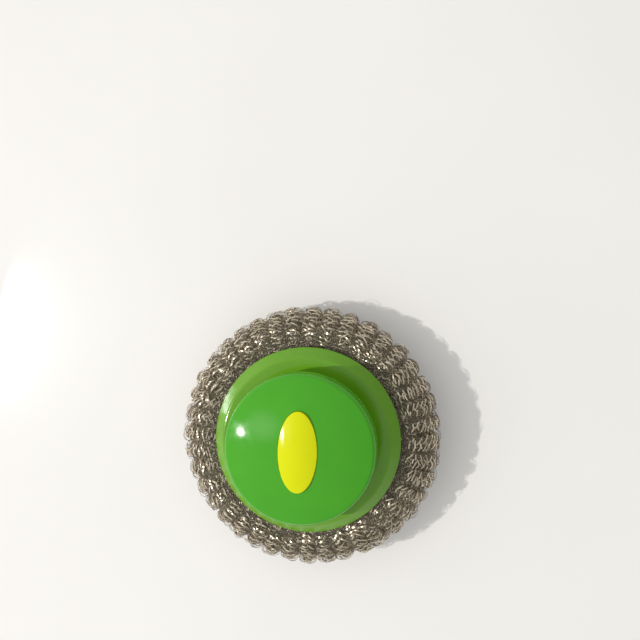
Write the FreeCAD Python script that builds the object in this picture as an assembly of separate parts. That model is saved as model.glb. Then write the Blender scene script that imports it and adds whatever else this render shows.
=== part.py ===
import FreeCAD, Part
import math
import os

# Pot scrubber: a round pad of coiled steel wool under a green plastic knob with a yellow oval inlay.
# The knob screws down on a flange whose threaded spigot holds the gathered tuft of the wool.
# Lengths are in millimetres, +Z is up, and the origin is the centre of the face that the pad stands on.

# Clearances
SEAT_GAP = 0.3
PRESS_GAP = 0.15
RUNNING_GAP = 0.05
CUT_OVERRUN = 2.0

# Steel wool pad, wound in radial loops
PAD_DIAMETER = 104.5
PAD_SEAT_HEIGHT = 24.2
PAD_LOOPS = 40
LOOP_RELIEF = 1.8
FOOT_FLAT = 0.5
SEAT_MARGIN = 1.2
DIMPLE_DIAMETER = 34.0
DIMPLE_DEPTH = 4.5
EYE_DIAMETER = 6.0
EYE_DEPTH = 2.0
EYE_PLUG_MARGIN = 2.0
EQUATOR_SHARE = 0.66
FOOT_SHARE = 0.8

# Flange that spreads the knob's push over the wool
FLANGE_DIAMETER = 74.0
FLANGE_THICKNESS = 5.5
BEVEL_WIDTH = 3.8
LAND_HEIGHT = 1.5
BEVEL_ROUND = 1.2
LAND_ROUND = 0.4
FLANGE_SKIN = 2.4
FLANGE_RIM = 1.8
RIB_COUNT = 16
RIB_THICKNESS = 1.6
SPIGOT_FOOT = 1.5

# Threaded spigot and its mating thread in the knob
SPIGOT_WALL = 3.0
THREAD_LEAD = 3.5
THREAD_HEIGHT = 1.2
THREAD_SINK = 0.3
THREAD_TURNS = 1.5
LEAD_IN_TURNS = 1.3
LEAD_OUT_TURNS = 0.5
THREAD_BASE_SHARE = 0.5
THREAD_CREST_SHARE = 0.26
KEYWAY_WIDTH = 4.6
KEYWAY_DEPTH = 1.5

# Gathered tuft of wool and the crimped ring that binds it
TUFT_HEIGHT = 9.0
TUFT_WAIST_DEPTH = 3.5
BINDING_WIRE = 1.4
BINDING_OPENING_ANGLE = 12.0
WAIST_SHARE = 0.5

# Pressure disc that clamps the tuft and swivels under the knob
DISC_THICKNESS = 2.2
HUB_DIAMETER = 11.0
HUB_HEIGHT = 2.2
GRIP_GROOVE_DEPTH = 0.6
GRIP_GROOVE_SHARES = (0.55, 0.8)

# Shoulder screw and washer that carry the disc
SHOULDER_DIAMETER = 5.0
SCREW_DIAMETER = 3.0
SCREW_BITE = 3.2
HEAD_DIAMETER = 7.4
HEAD_HEIGHT = 1.2
RECESS_WIDTH = 1.0
RECESS_LENGTH = 4.0
RECESS_DEPTH = 0.7
WASHER_DIAMETER = 8.0
WASHER_THICKNESS = 0.6
BOSS_DIAMETER = 9.0

# Knob: a neck with a closing rim, and a crowned cap that snaps over it
KNOB_DIAMETER = 58.0
KNOB_WALL = 2.2
CROWN_HEIGHT = 4.5
CROWN_ROUND = 2.0
SKIRT_ROUND = 0.6
GROOVE_DEPTH = 6.5
NECK_HEIGHT = 7.7
NECK_WALL = 4.0
NECK_HOLLOW = 1.2
CORE_WALL = 2.4
CORE_PLATE = 2.0
CORE_RIM = 2.4
HEADROOM = 0.8
SNAP_HEIGHT = 0.35
SNAP_WIDTH = 1.0
KEY_COUNT = 4
KEY_TURN_ANGLE = 45.0
KEY_WIDTH = 2.4
KEY_REACH = 1.4

# Yellow oval inlay, pressed into a pocket in the crown
OVAL_LENGTH = 31.0
OVAL_WIDTH = 15.0
OVAL_PROUD = 1.25
OVAL_BULGE = 1.3
OVAL_ROUND = 0.4
POCKET_DEPTH = 1.2
POCKET_FLOOR = 1.8
PEG_ROOM = 2.5
POCKET_WALL = 1.8
PEG_DIAMETER = 3.0
PEG_SPACING = 17.0
PEG_BARB = 0.35
PEG_TIP = 0.6

# Radii, from the pad and the flange to the knob, and from the knob's side inwards to the tuft
pad_radius = PAD_DIAMETER / 2
flange_radius = FLANGE_DIAMETER / 2
flat_radius = flange_radius - BEVEL_WIDTH
knob_radius = KNOB_DIAMETER / 2
cap_bore_radius = knob_radius - KNOB_WALL
rim_radius = cap_bore_radius - PRESS_GAP
neck_radius = knob_radius - GROOVE_DEPTH
thread_bore_radius = neck_radius - NECK_WALL
core_radius = thread_bore_radius + CORE_WALL
spigot_radius = thread_bore_radius - SEAT_GAP - THREAD_HEIGHT
bore_radius = spigot_radius - SPIGOT_WALL
tuft_radius = bore_radius - SEAT_GAP
waist_radius = tuft_radius - TUFT_WAIST_DEPTH
crown_radius = (knob_radius ** 2 + CROWN_HEIGHT ** 2) / (2 * CROWN_HEIGHT)

# Levels, from the face that the pad stands on up to the crown
flange_bottom = PAD_SEAT_HEIGHT + SEAT_GAP
flange_top = flange_bottom + FLANGE_THICKNESS
spigot_top = flange_top + THREAD_LEAD * (LEAD_IN_TURNS + THREAD_TURNS + LEAD_OUT_TURNS)
tuft_top = flange_bottom + TUFT_HEIGHT
waist_level = flange_bottom + TUFT_HEIGHT * WAIST_SHARE
disc_bottom = tuft_top + SEAT_GAP
head_room = HEAD_HEIGHT + WASHER_THICKNESS + 3 * RUNNING_GAP
hub_top = disc_bottom + DISC_THICKNESS + HUB_HEIGHT
boss_bottom = hub_top + RUNNING_GAP
neck_bottom = flange_top + SEAT_GAP
knob_bottom = neck_bottom + NECK_HEIGHT
rim_top = knob_bottom + CORE_RIM
snap_level = knob_bottom + CORE_RIM / 2
key_bottom = knob_bottom + CORE_RIM / 4
plate_bottom = spigot_top + HEADROOM
plate_top = plate_bottom + CORE_PLATE
pocket_level = plate_top + PEG_ROOM + POCKET_FLOOR
crown_drop = crown_radius - math.sqrt(crown_radius ** 2 - (OVAL_LENGTH / 2) ** 2)
crown_top = pocket_level + POCKET_DEPTH + crown_drop
crown_centre = crown_top - crown_radius

UP = FreeCAD.Vector(0, 0, 1)
ORIGIN = FreeCAD.Vector(0, 0, 0)


def in_plane(radius, height, azimuth=0.0):
    """The point at a radius and height in the half plane that stands at an azimuth, in degrees."""
    turn = math.radians(azimuth)
    return FreeCAD.Vector(radius * math.cos(turn), radius * math.sin(turn), height)


def lathe(corners):
    """A solid turned about Z from corners of (radius, height), or (radius, height, round)."""
    points = [in_plane(c[0], c[1]) for c in corners]
    rounds = [c[2] if len(c) > 2 else 0.0 for c in corners]
    edges = []
    leaves = []
    for i, point in enumerate(points):
        before = (points[i - 1] - point).normalize()
        after = (points[(i + 1) % len(points)] - point).normalize()
        if not rounds[i]:
            leaves.append((point, point))
            continue
        half = before.getAngle(after) / 2
        inset = rounds[i] / math.tan(half)
        bisector = (before + after).normalize()
        middle = point + bisector * (rounds[i] / math.sin(half) - rounds[i])
        start = point + before * inset
        end = point + after * inset
        edges.append(Part.Arc(start, middle, end).toShape())
        leaves.append((start, end))
    for i, (_, leave) in enumerate(leaves):
        arrive = leaves[(i + 1) % len(leaves)][0]
        edges.append(Part.LineSegment(leave, arrive).toShape())
    wire = Part.Wire(Part.__sortEdges__(edges))
    return Part.Face(wire).revolve(ORIGIN, UP, 360)


def disc(radius, bottom, top):
    """A round bar about Z between two heights."""
    return Part.makeCylinder(radius, top - bottom, FreeCAD.Vector(0, 0, bottom))


def tube(inner, outer, bottom, top):
    """A ring about Z between two heights."""
    cutter = disc(inner, bottom - CUT_OVERRUN, top + CUT_OVERRUN)
    return disc(outer, bottom, top).cut(cutter)


def bar(near, far, width, bottom, top):
    """A straight block along +X from a near to a far radius."""
    corner = FreeCAD.Vector(near, -width / 2, bottom)
    return Part.makeBox(far - near, width, top - bottom, corner)


def around(shape, count, start=0.0):
    """Copies of a shape, evenly spaced about Z."""
    copies = []
    for i in range(count):
        copy = shape.copy()
        copy.rotate(ORIGIN, UP, start + 360.0 * i / count)
        copies.append(copy)
    return copies


def oval(length, width, bottom, top):
    """An upright elliptical prism whose long axis is Y."""
    curve = Part.Ellipse(ORIGIN, length / 2, width / 2).toShape()
    curve.rotate(ORIGIN, UP, 90)
    curve.translate(FreeCAD.Vector(0, 0, bottom))
    return Part.Face(Part.Wire(curve)).extrude(UP * (top - bottom))


def domed_disc(radius, bottom, top, rise, edge_round):
    """A round bar about Z whose spherical top rises from a rounded edge."""
    sphere_radius = (radius ** 2 + rise ** 2) / (2 * rise)
    sphere = Part.makeSphere(sphere_radius, FreeCAD.Vector(0, 0, top - sphere_radius))
    body = disc(radius, bottom, top).common(sphere)
    rings = [edge for edge in body.Edges if edge.Closed and not edge.Degenerated]
    return body.makeFillet(edge_round, [max(rings, key=lambda ring: ring.BoundBox.ZMax)])


def thread_ridge(root, crest, start, turns):
    """A helical ridge from a root radius to a crest radius, its middle starting at a height above +X."""
    base = THREAD_LEAD * THREAD_BASE_SHARE / 2
    tip = THREAD_LEAD * THREAD_CREST_SHARE / 2
    sunk = root + math.copysign(THREAD_SINK, root - crest)
    corners = [(sunk, start - base), (crest, start - tip), (crest, start + tip), (sunk, start + base)]
    profile = Part.makePolygon([in_plane(r, z) for r, z in corners + corners[:1]])
    helix = Part.makeHelix(THREAD_LEAD, THREAD_LEAD * turns, root)
    helix.translate(FreeCAD.Vector(0, 0, start))
    return Part.Wire(helix.Edges).makePipeShell([profile], True, True)


def pad_section(azimuth, relief):
    """Outline of the wool pad in one half plane, drawn in by a relief from the crest of a loop."""
    outer = pad_radius - relief
    bottom = relief - FOOT_FLAT
    equator = PAD_SEAT_HEIGHT * EQUATOR_SHARE
    eye = EYE_DIAMETER / 2

    def bulge(inner, height, share):
        """The point of the arc that leaves the equator upright, a share of its turn from there."""
        across = outer - inner
        rise = height - equator
        radius = (across ** 2 + rise ** 2) / (2 * across)
        turn = share * math.atan2(rise, inner - outer + radius)
        return outer - radius + radius * math.cos(turn), equator + radius * math.sin(turn)

    def arc(*points):
        return Part.Arc(*[in_plane(r, z, azimuth) for r, z in points]).toShape()

    def line(*points):
        return Part.LineSegment(*[in_plane(r, z, azimuth) for r, z in points]).toShape()

    seat_edge = (flange_radius + SEAT_MARGIN, PAD_SEAT_HEIGHT)
    foot_edge = (outer * FOOT_SHARE, bottom)
    dimple_edge = (DIMPLE_DIAMETER / 2, bottom)
    eye_top = (eye, PAD_SEAT_HEIGHT)
    eye_mouth = (eye, bottom + DIMPLE_DEPTH)
    side = (outer, equator)
    return Part.Wire([
        line(eye_top, seat_edge),
        arc(seat_edge, bulge(*seat_edge, 0.5), side),
        arc(side, bulge(*foot_edge, 0.5), foot_edge),
        line(foot_edge, dimple_edge),
        line(dimple_edge, eye_mouth),
        line(eye_mouth, eye_top),
    ])


def wool_pad():
    """Radial loops side by side round a plug, cut flat where they stand."""
    half = 180.0 / PAD_LOOPS
    sections = [pad_section(-half, LOOP_RELIEF), pad_section(0.0, 0.0), pad_section(half, LOOP_RELIEF)]
    loop = Part.makeLoft(sections, True, False)
    loops = around(loop, PAD_LOOPS)
    plug = disc(EYE_DIAMETER / 2 + EYE_PLUG_MARGIN, DIMPLE_DEPTH + EYE_DEPTH, PAD_SEAT_HEIGHT)
    pad = plug.multiFuse(loops)
    floor = disc(PAD_DIAMETER, -CUT_OVERRUN, 0.0)
    return pad.cut(floor)


def wool_tuft():
    """The gathered end of the wool, drawn in at its waist."""
    foot = in_plane(tuft_radius, flange_bottom)
    head = in_plane(tuft_radius, tuft_top)
    head_centre = in_plane(0, tuft_top)
    foot_centre = in_plane(0, flange_bottom)
    outline = Part.Wire([
        Part.Arc(foot, in_plane(waist_radius, waist_level), head).toShape(),
        Part.LineSegment(head, head_centre).toShape(),
        Part.LineSegment(head_centre, foot_centre).toShape(),
        Part.LineSegment(foot_centre, foot).toShape(),
    ])
    return Part.Face(outline).revolve(ORIGIN, UP, 360)


def binding_ring():
    """A crimped C of steel wire round the tuft's waist."""
    wire_radius = BINDING_WIRE / 2
    centre = in_plane(waist_radius + SEAT_GAP + wire_radius, waist_level)
    section = Part.Circle(centre, FreeCAD.Vector(0, 1, 0), wire_radius).toShape()
    ring = Part.Face(Part.Wire(section)).revolve(ORIGIN, UP, 360.0 - BINDING_OPENING_ANGLE)
    ring.rotate(ORIGIN, UP, BINDING_OPENING_ANGLE / 2)
    return ring


def flange():
    """A bevelled dish, ribbed underneath, with a threaded spigot that has two keyways in its bore."""
    body = lathe([
        (bore_radius, flange_bottom), (flange_radius, flange_bottom, LAND_ROUND),
        (flange_radius, flange_bottom + LAND_HEIGHT, LAND_ROUND), (flat_radius, flange_top, BEVEL_ROUND),
        (spigot_radius, flange_top), (spigot_radius, spigot_top), (bore_radius, spigot_top),
    ])
    pocket = tube(spigot_radius + SPIGOT_FOOT, flat_radius - FLANGE_RIM,
                  flange_bottom - CUT_OVERRUN, flange_top - FLANGE_SKIN)
    rib = bar(spigot_radius, flat_radius, RIB_THICKNESS, flange_bottom - CUT_OVERRUN, flange_top)
    for one in around(rib, RIB_COUNT):
        pocket = pocket.cut(one)
    keyway = bar(0, bore_radius + KEYWAY_DEPTH, KEYWAY_WIDTH,
                 disc_bottom - SEAT_GAP, spigot_top + CUT_OVERRUN)
    body = body.cut(pocket)
    for one in around(keyway, 2):
        body = body.cut(one)
    start = flange_top + THREAD_LEAD * LEAD_IN_TURNS
    ridge = thread_ridge(spigot_radius, spigot_radius + THREAD_HEIGHT, start, THREAD_TURNS)
    return body.fuse(ridge)


def pressure_disc():
    """A disc with a hub, grip grooves underneath and two lugs that ride in the keyways."""
    top = disc_bottom + DISC_THICKNESS
    body = disc(tuft_radius, disc_bottom, top).fuse(disc(HUB_DIAMETER / 2, disc_bottom, hub_top))
    lug = bar(0, bore_radius + KEYWAY_DEPTH - SEAT_GAP, KEYWAY_WIDTH - 2 * SEAT_GAP, disc_bottom, top)
    body = body.multiFuse(around(lug, 2))
    for share in GRIP_GROOVE_SHARES:
        middle = tuft_radius * share
        body = body.cut(lathe([
            (middle - GRIP_GROOVE_DEPTH, disc_bottom), (middle + GRIP_GROOVE_DEPTH, disc_bottom),
            (middle, disc_bottom + GRIP_GROOVE_DEPTH),
        ]))
    counterbore = disc(WASHER_DIAMETER / 2 + SEAT_GAP, disc_bottom - CUT_OVERRUN, disc_bottom + head_room)
    bore = disc(SHOULDER_DIAMETER / 2 + RUNNING_GAP, disc_bottom - CUT_OVERRUN, hub_top + CUT_OVERRUN)
    return body.cut(counterbore).cut(bore)


def swivel_washer():
    top = disc_bottom + head_room - RUNNING_GAP
    return tube(SHOULDER_DIAMETER / 2 + RUNNING_GAP, WASHER_DIAMETER / 2, top - WASHER_THICKNESS, top)


def swivel_screw():
    """Shoulder screw: its head faces down and its thread bites in the boss that the shoulder stands under."""
    bottom = disc_bottom + RUNNING_GAP
    body = disc(HEAD_DIAMETER / 2, bottom, bottom + HEAD_HEIGHT)
    body = body.fuse(disc(SHOULDER_DIAMETER / 2, bottom, boss_bottom))
    body = body.fuse(disc(SCREW_DIAMETER / 2, bottom, boss_bottom + SCREW_BITE))
    arm = bar(0, RECESS_LENGTH / 2, RECESS_WIDTH, bottom - CUT_OVERRUN, bottom + RECESS_DEPTH)
    for one in around(arm, 4):
        body = body.cut(one)
    return body


def knob_core():
    """The hollow neck with its inner thread, the rim that closes the cap and the boss for the screw."""
    body = lathe([
        (thread_bore_radius, neck_bottom), (neck_radius, neck_bottom, SKIRT_ROUND),
        (neck_radius, knob_bottom), (rim_radius, knob_bottom), (rim_radius, snap_level - SNAP_WIDTH / 2),
        (rim_radius + SNAP_HEIGHT, snap_level), (rim_radius, snap_level + SNAP_WIDTH / 2),
        (rim_radius, rim_top), (core_radius, rim_top), (core_radius, plate_top), (0, plate_top),
        (0, plate_bottom), (thread_bore_radius, plate_bottom),
    ])
    hollow_radius = (NECK_HEIGHT ** 2 / 4 + NECK_HOLLOW ** 2) / (2 * NECK_HOLLOW)
    hollow = Part.makeTorus(neck_radius - NECK_HOLLOW + hollow_radius, hollow_radius,
                            FreeCAD.Vector(0, 0, neck_bottom + NECK_HEIGHT / 2))
    body = body.cut(hollow.common(tube(thread_bore_radius, knob_radius, neck_bottom, knob_bottom)))
    body = body.fuse(disc(BOSS_DIAMETER / 2, boss_bottom, plate_bottom))
    body = body.cut(disc(SCREW_DIAMETER / 2, boss_bottom - CUT_OVERRUN, boss_bottom + SCREW_BITE + SEAT_GAP))
    notch = bar(cap_bore_radius - KEY_REACH - PRESS_GAP, knob_radius, KEY_WIDTH + 2 * PRESS_GAP,
                key_bottom, rim_top + CUT_OVERRUN)
    for one in around(notch, KEY_COUNT, KEY_TURN_ANGLE):
        body = body.cut(one)
    start = flange_top + THREAD_LEAD * (LEAD_IN_TURNS - LEAD_OUT_TURNS)
    ridge = thread_ridge(thread_bore_radius, spigot_radius + SEAT_GAP, start, THREAD_TURNS + LEAD_OUT_TURNS)
    return body.fuse(ridge)


def knob_cap():
    """The crowned shell with the pocket for the inlay, the snap groove and the keys for the core."""
    outside = domed_disc(knob_radius, knob_bottom, crown_top, CROWN_HEIGHT, CROWN_ROUND)
    rings = [edge for edge in outside.Edges if edge.Closed and not edge.Degenerated]
    outside = outside.makeFillet(SKIRT_ROUND, [min(rings, key=lambda ring: ring.BoundBox.ZMin)])
    inside = disc(cap_bore_radius, knob_bottom - CUT_OVERRUN, crown_top)
    centre = FreeCAD.Vector(0, 0, crown_centre)
    inside = inside.common(Part.makeSphere(crown_radius - KNOB_WALL, centre))
    shell = outside.cut(inside)

    gap = 2 * PRESS_GAP
    wall = gap + 2 * POCKET_WALL
    pocket_under = pocket_level - POCKET_FLOOR
    boss = oval(OVAL_LENGTH + wall, OVAL_WIDTH + wall, pocket_under, crown_top)
    pocket = oval(OVAL_LENGTH + gap, OVAL_WIDTH + gap, pocket_level, crown_top + CUT_OVERRUN)
    key = bar(cap_bore_radius - KEY_REACH, cap_bore_radius + KNOB_WALL / 2, KEY_WIDTH,
              key_bottom + PRESS_GAP, crown_top)
    for one in around(key, KEY_COUNT, KEY_TURN_ANGLE):
        shell = shell.fuse(one.common(outside))
    shell = shell.fuse(boss.common(outside)).cut(pocket)
    for side in (-PEG_SPACING / 2, PEG_SPACING / 2):
        hole = disc(PEG_DIAMETER / 2 + PRESS_GAP, pocket_under - CUT_OVERRUN, pocket_level + CUT_OVERRUN)
        hole.translate(FreeCAD.Vector(0, side, 0))
        shell = shell.cut(hole)

    half = SNAP_WIDTH / 2 + PRESS_GAP
    groove = lathe([
        (rim_radius, snap_level - half), (cap_bore_radius, snap_level - half),
        (cap_bore_radius + SNAP_HEIGHT, snap_level),
        (cap_bore_radius, snap_level + half), (rim_radius, snap_level + half),
    ])
    return shell.cut(groove)


def oval_inlay():
    """A pebble with a level brim, and two barbed pegs underneath."""
    pebble = domed_disc(OVAL_LENGTH / 2, pocket_level, crown_top + OVAL_PROUD, OVAL_BULGE, OVAL_ROUND)
    squeeze = FreeCAD.Matrix()
    squeeze.scale(OVAL_WIDTH / OVAL_LENGTH, 1, 1)
    body = pebble.transformGeometry(squeeze)
    radius = PEG_DIAMETER / 2
    hole_end = pocket_level - POCKET_FLOOR - RUNNING_GAP
    for side in (-PEG_SPACING / 2, PEG_SPACING / 2):
        peg = lathe([
            (0, pocket_level), (radius, pocket_level), (radius, hole_end), (radius + PEG_BARB, hole_end),
            (radius - PEG_BARB, hole_end - PEG_TIP), (0, hole_end - PEG_TIP),
        ])
        peg.translate(FreeCAD.Vector(0, side, 0))
        body = body.fuse(peg)
    return body


PIECES = {
    "wool_pad": wool_pad,
    "wool_tuft": wool_tuft,
    "binding_ring": binding_ring,
    "flange": flange,
    "pressure_disc": pressure_disc,
    "swivel_washer": swivel_washer,
    "swivel_screw": swivel_screw,
    "knob_core": knob_core,
    "knob_cap": knob_cap,
    "oval_inlay": oval_inlay,
}


def main():
    os.makedirs("parts", exist_ok=True)
    for name, make in PIECES.items():
        shape = make()
        solids = shape.Solids
        print(name, "solids", len(solids), "valid", shape.isValid(), "volume", round(shape.Volume, 1))
        piece = solids[0] if len(solids) == 1 else Part.makeCompound(solids)
        piece.exportStep(f"parts/{name}.step")


main()
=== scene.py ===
import math

import bpy
import numpy as np
from mathutils import Matrix, Vector


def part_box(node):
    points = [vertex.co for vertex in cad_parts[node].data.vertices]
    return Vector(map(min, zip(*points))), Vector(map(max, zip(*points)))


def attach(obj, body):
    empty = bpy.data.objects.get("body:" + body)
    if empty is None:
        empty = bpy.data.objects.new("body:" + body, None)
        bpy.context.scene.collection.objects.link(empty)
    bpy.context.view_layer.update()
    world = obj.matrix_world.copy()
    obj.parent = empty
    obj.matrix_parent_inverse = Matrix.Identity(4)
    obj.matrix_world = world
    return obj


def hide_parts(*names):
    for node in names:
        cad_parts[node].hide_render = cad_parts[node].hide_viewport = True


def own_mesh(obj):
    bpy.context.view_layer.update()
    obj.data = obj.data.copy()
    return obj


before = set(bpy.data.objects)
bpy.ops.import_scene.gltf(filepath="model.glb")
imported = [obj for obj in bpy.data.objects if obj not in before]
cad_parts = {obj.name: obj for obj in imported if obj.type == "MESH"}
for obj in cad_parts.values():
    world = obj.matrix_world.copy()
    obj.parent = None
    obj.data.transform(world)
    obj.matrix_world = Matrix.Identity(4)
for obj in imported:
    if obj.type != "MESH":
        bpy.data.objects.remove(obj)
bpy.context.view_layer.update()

# Sizes are in metres, in the frame of the solids: +Z up along the knob's axis, the floor at zero.
# A value named share or shares is a part of what it follows, and angles are in radians.
MM = 0.001

# Camera, from places measured in the square photograph
FRAME_PIXELS = 640
FLANGE_PIXEL = (307.6, 440)
FLANGE_PIXEL_RISE = 1.0 * MM
PIXELS_PER_METRE = 2525
VIEW_DISTANCE = 0.43
AXIS_LEAN = (-0.141, -0.079)
ROLL = math.radians(1.7)
SENSOR_MM = 36.0

# The pad's section, as in its solid
SEAT_GAP = 0.3 * MM
SEAT_MARGIN = 1.2 * MM
FOOT_FLAT = 0.5 * MM
EQUATOR_SHARE = 0.66
FOOT_SHARE = 0.8
DIMPLE_RADIUS = 17 * MM
DIMPLE_RISE = 4.5 * MM
LOBE_RELIEF = 1.8 * MM

# Points along the stretches of the section
ARC_POINTS = 40
TOP_POINTS = 20
FOOT_POINTS = 30
DIMPLE_POINTS = 12

# Ribbon of the wool, and how far its middle stays off the floor and the flange
RIBBON_WIDTH = 0.5 * MM
RIBBON_THICKNESS = 0.14 * MM
FOOT_CLEAR = 0.3 * MM
FLANGE_CLEAR = 0.3 * MM

# Loops: each lobe of the solid carries three flat coils side by side
LOOPS = 40
SECTORS = 5
COIL_RADIUS = 1.75 * MM
COIL_WIDE_SHARE = 0.52
COIL_PITCH = 1.95 * MM
COIL_STEPS = 12
COIL_SHARES_OF_LOBE = (-0.36, 0.0, 0.36)
COIL_HANDS = (1, -1, 1)
COIL_TOP_START = 28 * MM
COIL_FOOT_END = 5 * MM

# Fill: a thinner, duller coil in each valley between two lobes, its steel darker than the loops' as painted
# shade of the valley
FILL_HALVES = 2
FILL_INSET = 2.2 * MM
FILL_RADIUS = 1.3 * MM
FILL_WIDE_SHARE = 0.4
FILL_PITCH = 2.0 * MM
FILL_HAND = -1
FILL_TOP_START = 32 * MM
FILL_FOOT_END = 20 * MM

# On top, a coil sinks from this radius inwards, down to a depth at the flange's edge
TUCK_REACH = 46.0 * MM
TUCK_DEPTH = 1.5 * MM

# How uneven a coil is: the number of turns over which something changes, and the most that it changes
PITCH_SHARES = (0.85, 1.2)
SLOW_TURNS = 3
PHASE_WANDER = 2.0
LIFT_WANDER = 0.4 * MM
SINK_MOST = 0.5 * MM
DRIFT_SHARE = 0.22
SIZE_TURNS = 0.8
SIZE_SHARE = 0.28
LEAN_TURNS = 1.5
LEAN_AT_SIDES = 1.3 * MM
LEAN_AT_CREST = 0.9 * MM
WILD_COUNT = 2
WILD_TURNS = 0.5
WILD_SHARE = 0.4

# Strays: loose turns on the top and the side of the pad, at some of the places along its section
STRAYS = 180
STRAY_INSET = 0.9 * MM
STRAY_PLACES = 60
STRAY_PLACE_RANGE = (12, 34)
STRAY_SMOOTHING = 2
STRAY_STEPS = 20
STRAY_TURN = (3.5, 6.2)
STRAY_RADIUS = (0.9 * MM, 2.0 * MM)
STRAY_OVAL_SHARE = 0.15
STRAY_TILT = 0.7
STRAY_FACE_SHARES = (0.3, 1.5)
STRAY_OFF_LOBE = 0.04

# Core: the dense heart of the pad, with lumps that are a sum of waves, dark in a finish of painted shade
CORE_INSET = 1.3 * MM
CORE_EYE = 1.0 * MM
CORE_ROWS = 60
CORE_COLUMNS_PER_LOBE = 10
CORE_SMOOTHING = 1
CORE_WAVES = 12
CORE_WAVE_HEIGHT = 0.25 * MM / 3
CORE_WAVES_ROUND = (7, 40)
CORE_WAVE_PER_ROW = (0.3, 2.5)

# Tuft: rings of strands, each with its share of the tuft's radius and its count
TUFT_RINGS = ((0.78, 12), (0.36, 6), (0.0, 1))
TUFT_STEPS = 110
TUFT_PITCH = 1.5 * MM
TUFT_COIL_SHARE = 0.2
TUFT_SCATTER = 0.1

# Seeds of the random draws
LOOPS_SEED = 100
FILL_SEED = 200
STRAYS_SEED = 300
CORE_SEED = 5
TUFT_SEED = 11

# Finishes: two linear colours that a clouding mixes, then the smoothest and the roughest spot
KNOB_GREEN = ((0.052, 0.365, 0.005), (0.06, 0.39, 0.007))
KNOB_GLOSS = (0.05, 0.1)
# The flange's green is partly its own yellow-green and partly painted reflection, shifted towards olive for
# the wool and warm surroundings it mirrors
FLANGE_GREEN_AND_PAINTED_REFLECTION = ((0.137, 0.36, 0.013), (0.15, 0.388, 0.017))
FLANGE_GLOSS = (0.08, 0.14)
OVAL_YELLOW = ((0.70, 0.74, 0.001), (0.74, 0.78, 0.002))
OVAL_GLOSS = (0.08, 0.13)
DISC_WHITE = ((0.62, 0.6, 0.54), (0.7, 0.69, 0.64))
DISC_GLOSS = (0.35, 0.5)
FITTING_STEEL = ((0.55, 0.54, 0.52), (0.66, 0.65, 0.63))
FITTING_GLOSS = (0.2, 0.34)
LOOP_STEEL = ((0.52, 0.437, 0.318), (0.79, 0.71, 0.565))
LOOP_GLOSS = (0.21, 0.4)
# The fill's colours are painted shade: the loops' steel, darkened for the valleys and the bore
FILL_STEEL_PAINTED_SHADE = ((0.33, 0.275, 0.2), (0.54, 0.475, 0.37))
FILL_GLOSS = (0.22, 0.42)
# The tangle's colours are painted shade: the ribbons' steel, darkened for the shadow deep inside the pad
TANGLE_STEEL_PAINTED_SHADE = ((0.12, 0.1, 0.072), (0.44, 0.38, 0.29))
TANGLE_GLOSS = (0.3, 0.55)
TANGLE_METAL = 0.8
PLASTIC_IOR = 1.49
PLASTIC_SHINE = 0.5
OVAL_SHINE = 0.22

# The part of a noise that a finish uses, and the depths and the stroke of the patterns
NOISE_LOW, NOISE_HIGH = 0.3, 0.7
RIPPLE_DEPTH = 0.4 * MM
SKIN_DEPTH = 0.05 * MM
GRAIN_DEPTH = 0.05 * MM
TANGLE_DEPTH = 0.4 * MM
TANGLE_STROKE = 0.06
SHARP_ANGLE = math.radians(45)

# Floor: pale paper, with a lift that only the camera and reflections see
FLOOR_HALF = 3.0
FLOOR_PAPER = ((0.82, 0.81, 0.79), (0.85, 0.84, 0.82))
FLOOR_ROUGHNESS = 0.9
FLOOR_LIFT = 0.08

# Lamps: each faces the flange from a direction, and its brightness is that of its face
LAMPS = {
    "key": dict(direction=(-0.622, -0.057, 0.781), distance=1.4, size=(0.03, 0.03), brightness=3100,
                colour=(1.0, 0.97, 0.93)),
    "panel": dict(direction=(-0.45, 0.01, 0.89), distance=1.2, size=(0.42, 0.52), brightness=1.3,
                  fades=True),
    "strip": dict(direction=(-0.959, 0.252, -0.135), distance=0.15, size=(0.045, 0.003), brightness=15.0),
}
LAMP_MIDDLE_SHARES = (0.5, 0.5, 0)
FADE_START_SHARE = 0.1
FADE_END_SHARE = 0.5
SKY_LEFT = (0.920, 0.917, 0.906, 1)
SKY_RIGHT = (0.340, 0.339, 0.335, 1)

pad_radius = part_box("wool_pad")[1][0]
flange_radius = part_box("flange")[1][0]
flange_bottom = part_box("flange")[0][2]
flange_middle = Vector((0, 0, flange_bottom + FLANGE_PIXEL_RISE))
seat_level = flange_bottom - SEAT_GAP
equator = EQUATOR_SHARE * seat_level
lobe_turn = math.tau / LOOPS


def new_material(name):
    """A node material: its Principled shader, a call that adds a node and one that feeds the shader."""
    material = bpy.data.materials.new(name)
    material.use_nodes = True
    nodes = material.node_tree.nodes
    links = material.node_tree.links
    shader = nodes["Principled BSDF"]

    def add(kind, inputs=None, **settings):
        node = nodes.new(kind)
        for key, value in settings.items():
            setattr(node, key, value)
        for key, value in (inputs or {}).items():
            if isinstance(value, bpy.types.NodeSocket):
                links.new(value, node.inputs[key])
            else:
                node.inputs[key].default_value = value
        return node

    def feed(output, socket):
        links.new(output, shader.inputs[socket])

    return material, shader, add, feed


def noise(add, place, scale, detail):
    """A noise of so many waves in a metre."""
    return add("ShaderNodeTexNoise", {"Vector": place, "Scale": scale, "Detail": detail}).outputs["Fac"]


def spread(add, value, limits):
    """Maps the middle of a noise to a range of values."""
    node = add("ShaderNodeMapRange", {"Value": value, "From Min": NOISE_LOW, "From Max": NOISE_HIGH,
                                      "To Min": limits[0], "To Max": limits[1]})
    return node.outputs["Result"]


def two_tone(add, value, tones):
    """Mixes two colours by a value."""
    ramp = add("ShaderNodeValToRGB", {"Fac": value})
    for element, position, tone in zip(ramp.color_ramp.elements, (NOISE_LOW, NOISE_HIGH), tones):
        element.position = position
        element.color = (*tone, 1)
    return ramp.outputs["Color"]


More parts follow.
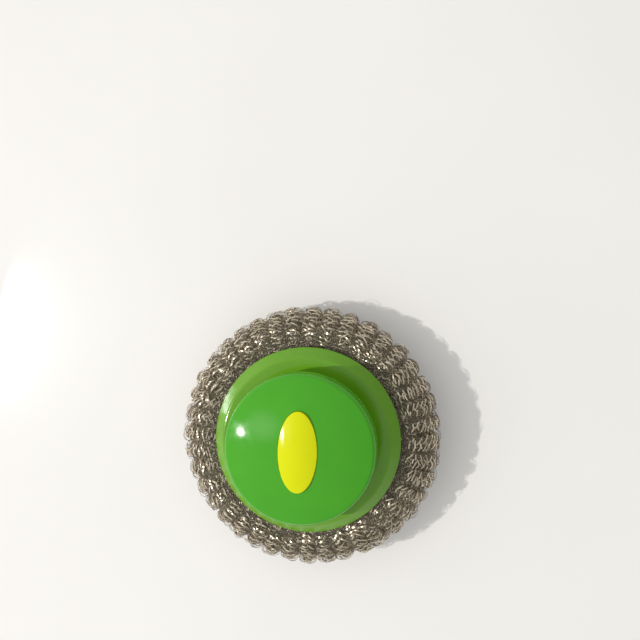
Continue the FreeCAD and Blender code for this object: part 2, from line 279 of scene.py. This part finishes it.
def bump(add, height, strength, depth, over=None):
    """The normal of a pattern of heights, laid over another normal if there is one."""
    inputs = {"Strength": strength, "Distance": depth, "Height": height}
    if over is not None:
        inputs["Normal"] = over
    return add("ShaderNodeBump", inputs).outputs["Normal"]


def moulded_plastic(name, tones, gloss, shine=PLASTIC_SHINE):
    """Glossy moulded plastic: faint clouding, uneven gloss, slow ripples and a fine skin."""
    material, shader, add, feed = new_material(name)
    place = add("ShaderNodeTexCoord").outputs["Object"]
    feed(two_tone(add, noise(add, place, scale=70, detail=3), tones), "Base Color")
    feed(spread(add, noise(add, place, scale=260, detail=3), gloss), "Roughness")
    ripples = bump(add, noise(add, place, scale=90, detail=1), strength=0.05, depth=RIPPLE_DEPTH)
    fine = noise(add, place, scale=2600, detail=1)
    feed(bump(add, fine, strength=0.03, depth=SKIN_DEPTH, over=ripples), "Normal")
    shader.inputs["IOR"].default_value = PLASTIC_IOR
    shader.inputs["Specular IOR Level"].default_value = shine
    return material


def steel(name, tones, gloss):
    """Bright steel, clouded, with an uneven gloss and a fine grain."""
    material, shader, add, feed = new_material(name)
    place = add("ShaderNodeTexCoord").outputs["Object"]
    feed(two_tone(add, noise(add, place, scale=420, detail=4), tones), "Base Color")
    feed(spread(add, noise(add, place, scale=900, detail=3), gloss), "Roughness")
    feed(bump(add, noise(add, place, scale=4000, detail=2), strength=0.15, depth=GRAIN_DEPTH), "Normal")
    shader.inputs["Metallic"].default_value = 1.0
    return material


def tangle(name):
    """The inside of the wool: crossing strokes of ribbon, darkened as painted shade of the pad's depths."""
    material, shader, add, feed = new_material(name)
    place = add("ShaderNodeTexCoord").outputs["Object"]
    curls = add("ShaderNodeTexNoise", {"Vector": place, "Scale": 420, "Detail": 1.0, "Distortion": 0.6})
    folded = add("ShaderNodeMath", {0: curls.outputs["Fac"], 1: TANGLE_STROKE}, operation="PINGPONG")
    strokes = add("ShaderNodeMath", {0: folded.outputs[0], 1: TANGLE_STROKE}, operation="DIVIDE").outputs[0]
    feed(two_tone(add, strokes, TANGLE_STEEL_PAINTED_SHADE), "Base Color")
    feed(spread(add, noise(add, place, scale=700, detail=2), TANGLE_GLOSS), "Roughness")
    feed(bump(add, strokes, strength=0.8, depth=TANGLE_DEPTH), "Normal")
    shader.inputs["Metallic"].default_value = TANGLE_METAL
    return material


def mesh_object(name, verts, faces, material):
    """An object of the scene with a smooth mesh, sharp along its hard edges."""
    mesh = bpy.data.meshes.new(name)
    mesh.from_pydata(verts, [], faces)
    mesh.validate()
    mesh.materials.append(material)
    mesh.shade_smooth()
    mesh.set_sharp_from_angle(angle=SHARP_ANGLE)
    piece = bpy.data.objects.new(name, mesh)
    bpy.context.scene.collection.objects.link(piece)
    return piece


def ribbon(centres, outward):
    """Vertices and faces of a closed ribbon along a line of centres, flat outside and ridged inside."""
    along = np.gradient(centres, axis=0)
    along /= np.linalg.norm(along, axis=1, keepdims=True)
    side = np.cross(along, outward)
    side /= np.linalg.norm(side, axis=1, keepdims=True)
    half_width = side * RIBBON_WIDTH / 2
    ridge = np.cross(side, along) * RIBBON_THICKNESS
    rings = np.stack([centres + half_width, centres - half_width, centres - ridge], axis=1)
    count = len(centres)
    start = np.arange(count - 1)[:, None] * 3
    corner = np.arange(3)[None, :]
    after = (corner + 1) % 3
    quads = np.stack([start + corner, start + after, start + 3 + after, start + 3 + corner], axis=-1)
    last = (count - 1) * 3
    caps = [[2, 1, 0], [last, last + 1, last + 2]]
    return rings.reshape(-1, 3), quads.reshape(-1, 4).tolist(), caps


def ribbons_object(name, ribbons, material):
    """One mesh of many ribbons."""
    verts = []
    faces = []
    base = 0
    for points, quads, caps in ribbons:
        verts.append(points)
        faces += [[base + corner for corner in face] for face in quads + caps]
        base += len(points)
    return mesh_object(name, np.concatenate(verts), faces, material)


def jitter(rng, s, spacing, reach):
    """A smooth random value along a distance, new at each spacing."""
    values = rng.uniform(-reach, reach, int(s[-1] / spacing) + 3)
    index = np.floor(s / spacing).astype(int)
    share = s / spacing - index
    share = share * share * (3 - 2 * share)
    return values[index] * (1 - share) + values[index + 1] * share


def pad_line(inset, inner_top, inner_foot, relief=0.0):
    """The pad's section from under the flange round its side to the dimple: radii, heights and distances.

    It is set in from the surface of the solid, where that is drawn in by a relief from a lobe's crest."""
    outer = pad_radius - relief
    bottom = relief - FOOT_FLAT
    standing = inset + max(bottom, 0)
    seat_edge = flange_radius + SEAT_MARGIN
    foot_edge = FOOT_SHARE * outer

    def bulge(edge, rise):
        """Radius and end angle of the arc that leaves the equator upright and ends at an edge."""
        across = outer - edge
        radius = (across ** 2 + rise ** 2) / (2 * across)
        return radius, math.atan2(rise, radius - across)

    upper, upper_end = bulge(seat_edge, seat_level - equator)
    lower, lower_end = bulge(foot_edge, equator - bottom)
    top_turn = np.linspace(upper_end, 0, ARC_POINTS)
    foot_turn = np.linspace(0, lower_end, ARC_POINTS)[1:]
    top = np.linspace(inner_top, seat_edge - inset, TOP_POINTS)[:-1]
    foot = np.linspace(foot_edge - inset, DIMPLE_RADIUS, FOOT_POINTS)[1:]
    dimple = np.linspace(DIMPLE_RADIUS, inner_foot, DIMPLE_POINTS)[1:]
    radii = [top,
             outer - upper + (upper - inset) * np.cos(top_turn),
             outer - lower + (lower - inset) * np.cos(foot_turn),
             foot,
             dimple]
    heights = [np.full_like(top, seat_level - inset),
               equator + (upper - inset) * np.sin(top_turn),
               np.maximum(equator - (lower - inset) * np.sin(foot_turn), standing),
               np.full_like(foot, standing),
               standing + DIMPLE_RISE * (DIMPLE_RADIUS - dimple) / DIMPLE_RADIUS]
    r = np.concatenate(radii)
    z = np.concatenate(heights)
    s = np.concatenate([[0], np.cumsum(np.hypot(np.diff(r), np.diff(z)))])
    return r, z, s


def follow(line, s, steps):
    """Points of a line at distances, with the outward normal and the tangent, smoothed over some steps."""
    r = np.interp(s, line[2], line[0])
    z = np.interp(s, line[2], line[1])
    slope = np.unwrap(np.arctan2(np.gradient(z, s), np.gradient(r, s)))
    window = np.ones(2 * steps + 1) / (2 * steps + 1)
    slope = np.convolve(np.pad(slope, steps, mode="edge"), window, mode="valid")
    normal = np.stack([-np.sin(slope), np.cos(slope)], axis=1)
    tangent = np.stack([np.cos(slope), np.sin(slope)], axis=1)
    return np.stack([r, z], axis=1), normal, tangent


def set_in_pad(section, aside, outward, azimuth):
    """A ribbon drawn in the XZ half plane, turned to its azimuth and kept off the floor and the flange."""
    height = np.maximum(section[:, 1], FOOT_CLEAR)
    under = np.hypot(section[:, 0], aside) < flange_radius + SEAT_MARGIN / 2
    height = np.where(under, np.minimum(height, flange_bottom - FLANGE_CLEAR), height)
    centres = np.stack([section[:, 0], aside, height], axis=1)
    turn = np.array(Matrix.Rotation(azimuth, 3, "Z")).T
    return ribbon(centres @ turn, outward @ turn)


def coil_loop(rng, azimuth, line, share, radius, wide_share, pitch, hand):
    """One flat coil of a radial loop: over the top, round the side and back under the pad.

    The shares, of half a lobe, say how far across it lies and how wide it is."""
    length = line[2][-1]
    pitch *= rng.uniform(*PITCH_SHARES)
    s = np.linspace(0, length, int(length / pitch * COIL_STEPS))
    section, normal, tangent = follow(line, s, COIL_STEPS)
    half_lobe = math.pi * section[:, 0] / LOOPS
    angle = hand * math.tau * s / pitch + jitter(rng, s, SLOW_TURNS * pitch, PHASE_WANDER)
    angle += rng.uniform(0, math.tau)
    cos, sin = np.cos(angle), np.sin(angle)
    size = 1 + jitter(rng, s, SIZE_TURNS * pitch, SIZE_SHARE)
    for wild in rng.uniform(0, length, WILD_COUNT):
        size += WILD_SHARE * np.exp(-((s - wild) / (WILD_TURNS * pitch)) ** 2)
    lift = jitter(rng, s, SLOW_TURNS * pitch, LIFT_WANDER) - rng.uniform(0, SINK_MOST)
    tucked = np.clip((TUCK_REACH - section[:, 0]) / (TUCK_REACH - flange_radius), 0, 1)
    lift -= TUCK_DEPTH * np.where(section[:, 1] > equator, tucked, 0)
    lean = jitter(rng, s, LEAN_TURNS * pitch, LEAN_AT_SIDES) * sin
    lean += jitter(rng, s, LEAN_TURNS * pitch, LEAN_AT_CREST) * cos
    drift = jitter(rng, s, SLOW_TURNS * pitch, DRIFT_SHARE)
    section = section + normal * (radius * size * cos + lift)[:, None] + tangent * lean[:, None]
    aside = (share + drift + wide_share * size * sin) * half_lobe
    outward = np.stack([normal[:, 0] * cos, sin, normal[:, 1] * cos], axis=1)
    return set_in_pad(section, aside, outward, azimuth)


def stray_loop(rng, line):
    """A loose turn of ribbon that lies on the top or the side of the pad."""
    length = line[2][-1]
    place, normal, tangent = follow(line, np.linspace(0, length, STRAY_PLACES), STRAY_SMOOTHING)
    pick = rng.integers(*STRAY_PLACE_RANGE)
    angle = np.linspace(0, rng.uniform(*STRAY_TURN), STRAY_STEPS) + rng.uniform(0, math.tau)
    radius = rng.uniform(*STRAY_RADIUS)
    radius = radius * (1 + STRAY_OVAL_SHARE * np.sin(2 * angle + rng.uniform(0, math.tau)))
    tilt = rng.uniform(-STRAY_TILT, STRAY_TILT)
    cos, sin = np.cos(angle), np.sin(angle)
    section = place[pick] + tangent[pick] * (radius * cos * math.cos(tilt))[:, None]
    section = section + normal[pick] * (radius * cos * math.sin(tilt))[:, None]
    outward = np.stack([tangent[pick, 0] * cos, sin, tangent[pick, 1] * cos], axis=1)
    outward += np.array([normal[pick, 0], 0, normal[pick, 1]]) * rng.uniform(*STRAY_FACE_SHARES)
    azimuth = rng.integers(LOOPS) * lobe_turn + rng.uniform(-STRAY_OFF_LOBE, STRAY_OFF_LOBE)
    return set_in_pad(section, radius * sin, outward, azimuth)


def wool_loops(material):
    """The coils on the lobes, a piece for each sector of the pad."""
    lines = [pad_line(COIL_RADIUS, COIL_TOP_START, COIL_FOOT_END, LOBE_RELIEF * share ** 2)
             for share in COIL_SHARES_OF_LOBE]
    pieces = []
    for sector in range(SECTORS):
        rng = np.random.default_rng(LOOPS_SEED + sector)
        first = sector * LOOPS // SECTORS
        lobes = [(first + k) * lobe_turn for k in range(LOOPS // SECTORS)]
        ribbons = [coil_loop(rng, lobe, line, share, COIL_RADIUS, COIL_WIDE_SHARE, COIL_PITCH, hand)
                   for lobe in lobes for line, share, hand in zip(lines, COIL_SHARES_OF_LOBE, COIL_HANDS)]
        pieces.append(ribbons_object(f"wool_loops_{sector + 1}", ribbons, material))
    return pieces


def wool_fill(material):
    """The coils in the valleys, a piece for each half of the pad."""
    line = pad_line(FILL_INSET, FILL_TOP_START, FILL_FOOT_END, LOBE_RELIEF)
    pieces = []
    for half in range(FILL_HALVES):
        rng = np.random.default_rng(FILL_SEED + half)
        first = half * LOOPS // FILL_HALVES
        valleys = [(first + k + 0.5) * lobe_turn for k in range(LOOPS // FILL_HALVES)]
        ribbons = [coil_loop(rng, valley, line, 0, FILL_RADIUS, FILL_WIDE_SHARE, FILL_PITCH, FILL_HAND)
                   for valley in valleys]
        pieces.append(ribbons_object(f"wool_fill_{half + 1}", ribbons, material))
    return pieces


def wool_strays(material):
    """The loose turns, in one piece."""
    rng = np.random.default_rng(STRAYS_SEED)
    line = pad_line(STRAY_INSET, flange_radius + SEAT_MARGIN, DIMPLE_RADIUS)
    return ribbons_object("wool_strays", [stray_loop(rng, line) for _ in range(STRAYS)], material)


def wool_core(material):
    """The dense heart of the pad, lobed as its solid is and lumpy, just inside the coils."""
    rng = np.random.default_rng(CORE_SEED)
    columns = CORE_COLUMNS_PER_LOBE * LOOPS
    lines = []
    for column in range(CORE_COLUMNS_PER_LOBE):
        aside = abs(2 * column / CORE_COLUMNS_PER_LOBE - 1)
        line = pad_line(CORE_INSET, CORE_EYE, CORE_EYE, LOBE_RELIEF * aside ** 2)
        lines.append(follow(line, np.linspace(0, line[2][-1], CORE_ROWS), CORE_SMOOTHING))
    waves = [(rng.integers(*CORE_WAVES_ROUND), rng.uniform(*CORE_WAVE_PER_ROW), rng.uniform(0, math.tau))
             for _ in range(CORE_WAVES)]
    verts = []
    for column in range(columns):
        azimuth = math.tau * (column - CORE_COLUMNS_PER_LOBE / 2) / columns
        section, normal, _ = lines[column % CORE_COLUMNS_PER_LOBE]
        for row in range(CORE_ROWS):
            lump = CORE_WAVE_HEIGHT * sum(math.sin(a * azimuth + b * row + p) for a, b, p in waves)
            lump *= min(1.0, section[row, 0] / DIMPLE_RADIUS)
            radius, height = section[row] + normal[row] * lump
            verts.append((radius * math.cos(azimuth), radius * math.sin(azimuth), height))
    faces = []
    for column in range(columns):
        here = column * CORE_ROWS
        beside = (column + 1) % columns * CORE_ROWS
        for row in range(CORE_ROWS):
            after = (row + 1) % CORE_ROWS
            faces.append([here + row, here + after, beside + after, beside + row])
    return mesh_object("wool_core", verts, faces, material)


def wool_tuft(material):
    """Coiled strands gathered upright in the flange's bore, drawn in by the binding ring."""
    rng = np.random.default_rng(TUFT_SEED)
    tuft_low, tuft_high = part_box("wool_tuft")
    ring_low, ring_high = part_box("binding_ring")
    middle = (ring_low[2] + ring_high[2]) / 2
    waist = abs(ring_low[0]) - (ring_high[2] - ring_low[2]) - 2 * SEAT_GAP
    low, high = tuft_low[2] + SEAT_GAP, tuft_high[2] - SEAT_GAP
    s = np.linspace(0, high - low, TUFT_STEPS)
    z = low + s
    pinch = np.abs(z - middle) / (high - middle)
    outer = waist + (tuft_high[0] - waist) * pinch ** 2
    coil = outer * TUFT_COIL_SHARE
    ribbons = []
    for share, count in TUFT_RINGS:
        for k in range(count):
            angle = math.tau * s / TUFT_PITCH + rng.uniform(0, math.tau)
            azimuth = math.tau * k / count + rng.uniform(-TUFT_SCATTER, TUFT_SCATTER)
            x = outer * share * math.cos(azimuth) + coil * np.cos(angle)
            y = outer * share * math.sin(azimuth) + coil * np.sin(angle)
            outward = np.stack([np.cos(angle), np.sin(angle), np.zeros_like(angle)], axis=1)
            ribbons.append(ribbon(np.stack([x, y, z], axis=1), outward))
    return ribbons_object("wool_tuft_strands", ribbons, material)


def build_wool():
    """The pad's wool and the gathered tuft."""
    bright = steel("wool_ribbon", LOOP_STEEL, LOOP_GLOSS)
    # The fill and the tuft take a rougher, darker copy of the steel; the darkness is painted shade
    dull_and_painted_shade = steel("wool_fill_ribbon_painted_shade", FILL_STEEL_PAINTED_SHADE, FILL_GLOSS)
    pieces = wool_loops(bright) + wool_fill(dull_and_painted_shade)
    pieces.append(wool_strays(bright))
    # The core wears the tangle, whose dark colour is painted shade
    core = wool_core(tangle("wool_tangle_painted_shade"))
    pieces.append(core)
    for piece in pieces:
        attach(piece, "pad")
        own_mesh(piece)
    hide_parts("wool_pad")
    tuft = wool_tuft(dull_and_painted_shade)
    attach(tuft, "base")
    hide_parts("wool_tuft")


def dress_solids():
    """Finishes of the solids that keep their own shape."""
    green = moulded_plastic("green_plastic", KNOB_GREEN, KNOB_GLOSS)
    # The flange's finish is tinted with painted reflection
    flange_green_and_painted_reflection = moulded_plastic("flange_green_painted_reflection_plastic", FLANGE_GREEN_AND_PAINTED_REFLECTION, FLANGE_GLOSS)
    yellow = moulded_plastic("yellow_plastic", OVAL_YELLOW, OVAL_GLOSS, shine=OVAL_SHINE)
    natural = moulded_plastic("natural_plastic", DISC_WHITE, DISC_GLOSS)
    bright = steel("bright_steel", FITTING_STEEL, FITTING_GLOSS)
    finishes = {"knob_cap": green, "knob_core": green, "flange": flange_green_and_painted_reflection, "oval_inlay": yellow,
                "pressure_disc": natural, "swivel_screw": bright, "swivel_washer": bright,
                "binding_ring": bright}
    for node, material in finishes.items():
        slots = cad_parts[node].data.materials
        slots.clear()
        slots.append(material)


def floor():
    """A pale floor."""
    material, shader, add, feed = new_material("floor_paper")
    place = add("ShaderNodeTexCoord").outputs["Object"]
    feed(two_tone(add, noise(add, place, scale=8, detail=2), FLOOR_PAPER), "Base Color")
    shader.inputs["Roughness"].default_value = FLOOR_ROUGHNESS
    path = add("ShaderNodeLightPath").outputs
    seen = add("ShaderNodeMath", {0: path["Is Camera Ray"], 1: path["Is Glossy Ray"]}, operation="MAXIMUM")
    seen = add("ShaderNodeMath", {0: seen.outputs[0], 1: path["Is Transmission Ray"]}, operation="MAXIMUM")
    glow = add("ShaderNodeMath", {0: seen.outputs[0], 1: FLOOR_LIFT}, operation="MULTIPLY")
    feed(glow.outputs[0], "Emission Strength")
    shader.inputs["Emission Color"].default_value = (1, 1, 1, 1)
    corners = [(-FLOOR_HALF, -FLOOR_HALF, 0), (FLOOR_HALF, -FLOOR_HALF, 0),
               (FLOOR_HALF, FLOOR_HALF, 0), (-FLOOR_HALF, FLOOR_HALF, 0)]
    mesh_object("floor", corners, [[0, 1, 2, 3]], material)


def fade(light):
    """Dims the face of a lamp from its middle to its edge."""
    light.use_nodes = True
    nodes, links = light.node_tree.nodes, light.node_tree.links
    place = nodes.new("ShaderNodeNewGeometry").outputs["Parametric"]
    reach = nodes.new("ShaderNodeVectorMath")
    reach.operation = "DISTANCE"
    reach.inputs[1].default_value = LAMP_MIDDLE_SHARES
    slope = nodes.new("ShaderNodeMapRange")
    slope.interpolation_type = "SMOOTHSTEP"
    slope.inputs["From Min"].default_value = FADE_END_SHARE
    slope.inputs["From Max"].default_value = FADE_START_SHARE
    links.new(place, reach.inputs[0])
    links.new(reach.outputs["Value"], slope.inputs["Value"])
    links.new(slope.outputs["Result"], nodes["Emission"].inputs["Strength"])


def soft_box(name, direction, distance, size, brightness, colour=(1, 1, 1), fades=False):
    """A flat lamp that faces the flange: a plain rectangle, or an ellipse that fades to its edge."""
    light = bpy.data.lights.new(name, "AREA")
    light.size, light.size_y = size
    light.color = colour
    area = size[0] * size[1]
    light.shape = "RECTANGLE"
    if fades:
        light.shape = "ELLIPSE"
        area *= math.pi / 4
        fade(light)
    light.energy = brightness * math.pi * area
    lamp = bpy.data.objects.new(name, light)
    lamp.location = flange_middle + Vector(direction).normalized() * distance
    lamp.rotation_euler = (flange_middle - lamp.location).to_track_quat("-Z", "Y").to_euler()
    lamp.visible_camera = False
    bpy.context.scene.collection.objects.link(lamp)


def sky():
    """A plain sky that is brighter on the left, towards -X."""
    world = bpy.data.worlds.new("studio_sky")
    bpy.context.scene.world = world
    world.use_nodes = True
    nodes, links = world.node_tree.nodes, world.node_tree.links
    direction = nodes.new("ShaderNodeTexCoord")
    split = nodes.new("ShaderNodeSeparateXYZ")
    across = nodes.new("ShaderNodeMapRange")
    across.inputs["From Min"].default_value = -1
    ramp = nodes.new("ShaderNodeValToRGB")
    ramp.color_ramp.elements[0].color = SKY_LEFT
    ramp.color_ramp.elements[1].color = SKY_RIGHT
    links.new(direction.outputs["Generated"], split.inputs["Vector"])
    links.new(split.outputs["X"], across.inputs["Value"])
    links.new(across.outputs["Result"], ramp.inputs["Fac"])
    links.new(ramp.outputs["Color"], nodes["Background"].inputs["Color"])


def camera():
    """The photograph's view: down the knob's axis, which leans a little in the picture."""
    lean_right, lean_up = AXIS_LEAN
    up = Vector((lean_right, lean_up, math.sqrt(1 - lean_right ** 2 - lean_up ** 2)))
    along = Vector((math.sin(ROLL), math.cos(ROLL), 0))
    along = (along - up * along.dot(up)).normalized()
    to_world = Matrix((along.cross(up), along, up))
    focal_pixels = PIXELS_PER_METRE * VIEW_DISTANCE
    middle = FRAME_PIXELS / 2
    across, down = FLANGE_PIXEL
    seen = Vector(((across - middle) / focal_pixels, (middle - down) / focal_pixels, -1))
    data = bpy.data.cameras.new("photo_camera")
    data.sensor_width = SENSOR_MM
    data.lens = focal_pixels / FRAME_PIXELS * SENSOR_MM
    eye = bpy.data.objects.new("photo_camera", data)
    place = flange_middle - to_world @ (seen * VIEW_DISTANCE)
    eye.matrix_world = Matrix.Translation(place) @ to_world.to_4x4()
    bpy.context.scene.collection.objects.link(eye)
    bpy.context.scene.camera = eye


bpy.context.scene.view_settings.view_transform = "Standard"
dress_solids()
build_wool()
floor()
for lamp_name, lamp_values in LAMPS.items():
    soft_box(lamp_name, **lamp_values)
sky()
camera()
